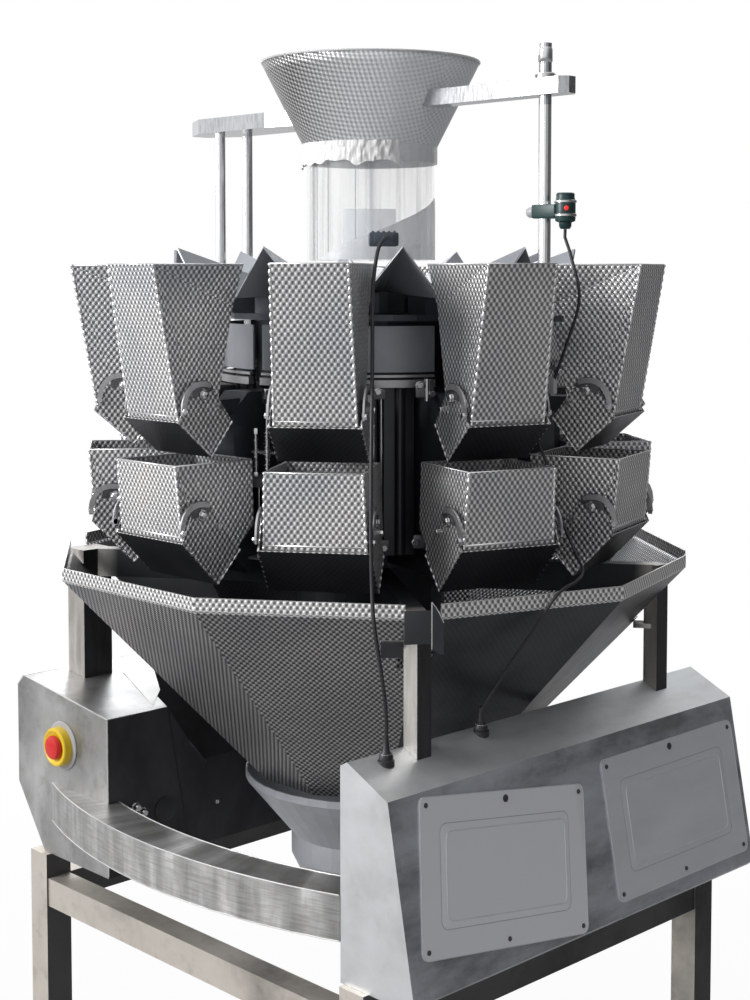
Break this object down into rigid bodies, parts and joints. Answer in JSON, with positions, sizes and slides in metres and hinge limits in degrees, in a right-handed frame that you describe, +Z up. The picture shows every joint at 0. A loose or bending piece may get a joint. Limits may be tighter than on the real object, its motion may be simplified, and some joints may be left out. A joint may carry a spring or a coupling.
{
  "type": "multihead weigher",
  "caption": "Ring of feed and weigh hoppers with swinging gates over a slotted collecting chute, infeed funnel above, two control boxes and a square stand below.",
  "frame": {"origin": "on the floor under the machine's vertical axis", "axes": "+Z up along the machine's axis, +X towards the control box with the two cover plates, +Y along the boxes away from the stop button"},
  "size_m": [1.11, 1.0556, 1.9],
  "materials": {
    "dimpled_steel": "dimple-embossed stainless sheet, semi-bright",
    "brushed_steel": "brushed satin stainless",
    "dark_steel": "dark satin",
    "chrome": "polished",
    "clear_plastic": "clear, slightly worn",
    "stop_plastic": "red button on a yellow ring",
    "sensor_plastic": "dark green, matte",
    "cable_black": "matte black"
  },
  "bodies": {
    "base": {"feed_hopper_01": "dimpled_steel", "weigh_hopper_01": "dimpled_steel", "feed_hopper_02": "dimpled_steel", "weigh_hopper_02": "dimpled_steel", "feed_hopper_03": "dimpled_steel", "weigh_hopper_03": "dimpled_steel", "feed_hopper_04": "dimpled_steel", "weigh_hopper_04": "dimpled_steel", "feed_hopper_05": "dimpled_steel", "weigh_hopper_05": "dimpled_steel", "feed_hopper_06": "dimpled_steel", "weigh_hopper_06": "dimpled_steel", "feed_hopper_07": "dimpled_steel", "weigh_hopper_07": "dimpled_steel", "feed_hopper_08": "dimpled_steel", "weigh_hopper_08": "dimpled_steel", "feed_hopper_09": "dimpled_steel", "weigh_hopper_09": "dimpled_steel", "feed_hopper_10": "dimpled_steel", "weigh_hopper_10": "dimpled_steel", "central_body": "dark_steel", "leg_frame": "brushed_steel", "feeder_pans": "brushed_steel", "infeed_funnel": "dimpled_steel", "infeed_tube": "clear_plastic", "funnel_bracket_left": "chrome", "funnel_bracket_right": "chrome", "level_sensor": "sensor_plastic", "collecting_chute": "dimpled_steel", "discharge_funnel": "brushed_steel", "control_box_right": "brushed_steel", "control_box_left": "brushed_steel", "arc_tube_front": "brushed_steel", "arc_tube_back": "brushed_steel", "stand": "brushed_steel", "stop_button": "stop_plastic", "cable_connector": "cable_black", "drop_cable": "cable_black", "sensor_cable": "cable_black"},
    "feed_gate_01": {"feed_gate_01": "dimpled_steel"},
    "weigh_gate_01": {"weigh_gate_01": "dimpled_steel"},
    "feed_gate_02": {"feed_gate_02": "dimpled_steel"},
    "weigh_gate_02": {"weigh_gate_02": "dimpled_steel"},
    "feed_gate_03": {"feed_gate_03": "dimpled_steel"},
    "weigh_gate_03": {"weigh_gate_03": "dimpled_steel"},
    "feed_gate_04": {"feed_gate_04": "dimpled_steel"},
    "weigh_gate_04": {"weigh_gate_04": "dimpled_steel"},
    "feed_gate_05": {"feed_gate_05": "dimpled_steel"},
    "weigh_gate_05": {"weigh_gate_05": "dimpled_steel"},
    "feed_gate_06": {"feed_gate_06": "dimpled_steel"},
    "weigh_gate_06": {"weigh_gate_06": "dimpled_steel"},
    "feed_gate_07": {"feed_gate_07": "dimpled_steel"},
    "weigh_gate_07": {"weigh_gate_07": "dimpled_steel"},
    "feed_gate_08": {"feed_gate_08": "dimpled_steel"},
    "weigh_gate_08": {"weigh_gate_08": "dimpled_steel"},
    "feed_gate_09": {"feed_gate_09": "dimpled_steel"},
    "weigh_gate_09": {"weigh_gate_09": "dimpled_steel"},
    "feed_gate_10": {"feed_gate_10": "dimpled_steel"},
    "weigh_gate_10": {"weigh_gate_10": "dimpled_steel"}
  },
  "joints": [
    {"name": "feed_gate_01_hinge", "type": "hinge", "parent": "base", "child": "feed_gate_01", "pos_m": [0, -0.427, 1.349], "axis": [-1, 0, 0], "range_deg": [0, 50]},
    {"name": "weigh_gate_01_hinge", "type": "hinge", "parent": "base", "child": "weigh_gate_01", "pos_m": [0, -0.443, 1.165], "axis": [-1, 0, 0], "range_deg": [0, 50]},
    {"name": "feed_gate_02_hinge", "type": "hinge", "parent": "base", "child": "feed_gate_02", "pos_m": [0.25098, -0.34545, 1.349], "axis": [-0.809, -0.5878, 0], "range_deg": [0, 50]},
    {"name": "weigh_gate_02_hinge", "type": "hinge", "parent": "base", "child": "weigh_gate_02", "pos_m": [0.26039, -0.3584, 1.165], "axis": [-0.809, -0.5878, 0], "range_deg": [0, 50]},
    {"name": "feed_gate_03_hinge", "type": "hinge", "parent": "base", "child": "feed_gate_03", "pos_m": [0.4061, -0.13195, 1.349], "axis": [-0.309, -0.9511, 0], "range_deg": [0, 50]},
    {"name": "weigh_gate_03_hinge", "type": "hinge", "parent": "base", "child": "weigh_gate_03", "pos_m": [0.42132, -0.13689, 1.165], "axis": [-0.309, -0.9511, 0], "range_deg": [0, 50]},
    {"name": "feed_gate_04_hinge", "type": "hinge", "parent": "base", "child": "feed_gate_04", "pos_m": [0.4061, 0.13195, 1.349], "axis": [0.309, -0.9511, 0], "range_deg": [0, 50]},
    {"name": "weigh_gate_04_hinge", "type": "hinge", "parent": "base", "child": "weigh_gate_04", "pos_m": [0.42132, 0.13689, 1.165], "axis": [0.309, -0.9511, 0], "range_deg": [0, 50]},
    {"name": "feed_gate_05_hinge", "type": "hinge", "parent": "base", "child": "feed_gate_05", "pos_m": [0.25098, 0.34545, 1.349], "axis": [0.809, -0.5878, 0], "range_deg": [0, 50]},
    {"name": "weigh_gate_05_hinge", "type": "hinge", "parent": "base", "child": "weigh_gate_05", "pos_m": [0.26039, 0.3584, 1.165], "axis": [0.809, -0.5878, 0], "range_deg": [0, 50]},
    {"name": "feed_gate_06_hinge", "type": "hinge", "parent": "base", "child": "feed_gate_06", "pos_m": [0, 0.427, 1.349], "axis": [1, 0, 0], "range_deg": [0, 50]},
    {"name": "weigh_gate_06_hinge", "type": "hinge", "parent": "base", "child": "weigh_gate_06", "pos_m": [0, 0.443, 1.165], "axis": [1, 0, 0], "range_deg": [0, 50]},
    {"name": "feed_gate_07_hinge", "type": "hinge", "parent": "base", "child": "feed_gate_07", "pos_m": [-0.25098, 0.34545, 1.349], "axis": [0.809, 0.5878, 0], "range_deg": [0, 50]},
    {"name": "weigh_gate_07_hinge", "type": "hinge", "parent": "base", "child": "weigh_gate_07", "pos_m": [-0.26039, 0.3584, 1.165], "axis": [0.809, 0.5878, 0], "range_deg": [0, 50]},
    {"name": "feed_gate_08_hinge", "type": "hinge", "parent": "base", "child": "feed_gate_08", "pos_m": [-0.4061, 0.13195, 1.349], "axis": [0.309, 0.9511, 0], "range_deg": [0, 50]},
    {"name": "weigh_gate_08_hinge", "type": "hinge", "parent": "base", "child": "weigh_gate_08", "pos_m": [-0.42132, 0.13689, 1.165], "axis": [0.309, 0.9511, 0], "range_deg": [0, 50]},
    {"name": "feed_gate_09_hinge", "type": "hinge", "parent": "base", "child": "feed_gate_09", "pos_m": [-0.4061, -0.13195, 1.349], "axis": [-0.309, 0.9511, 0], "range_deg": [0, 50]},
    {"name": "weigh_gate_09_hinge", "type": "hinge", "parent": "base", "child": "weigh_gate_09", "pos_m": [-0.42132, -0.13689, 1.165], "axis": [-0.309, 0.9511, 0], "range_deg": [0, 50]},
    {"name": "feed_gate_10_hinge", "type": "hinge", "parent": "base", "child": "feed_gate_10", "pos_m": [-0.25098, -0.34545, 1.349], "axis": [-0.809, 0.5878, 0], "range_deg": [0, 50]},
    {"name": "weigh_gate_10_hinge", "type": "hinge", "parent": "base", "child": "weigh_gate_10", "pos_m": [-0.26039, -0.3584, 1.165], "axis": [-0.809, 0.5878, 0], "range_deg": [0, 50]}
  ]
}
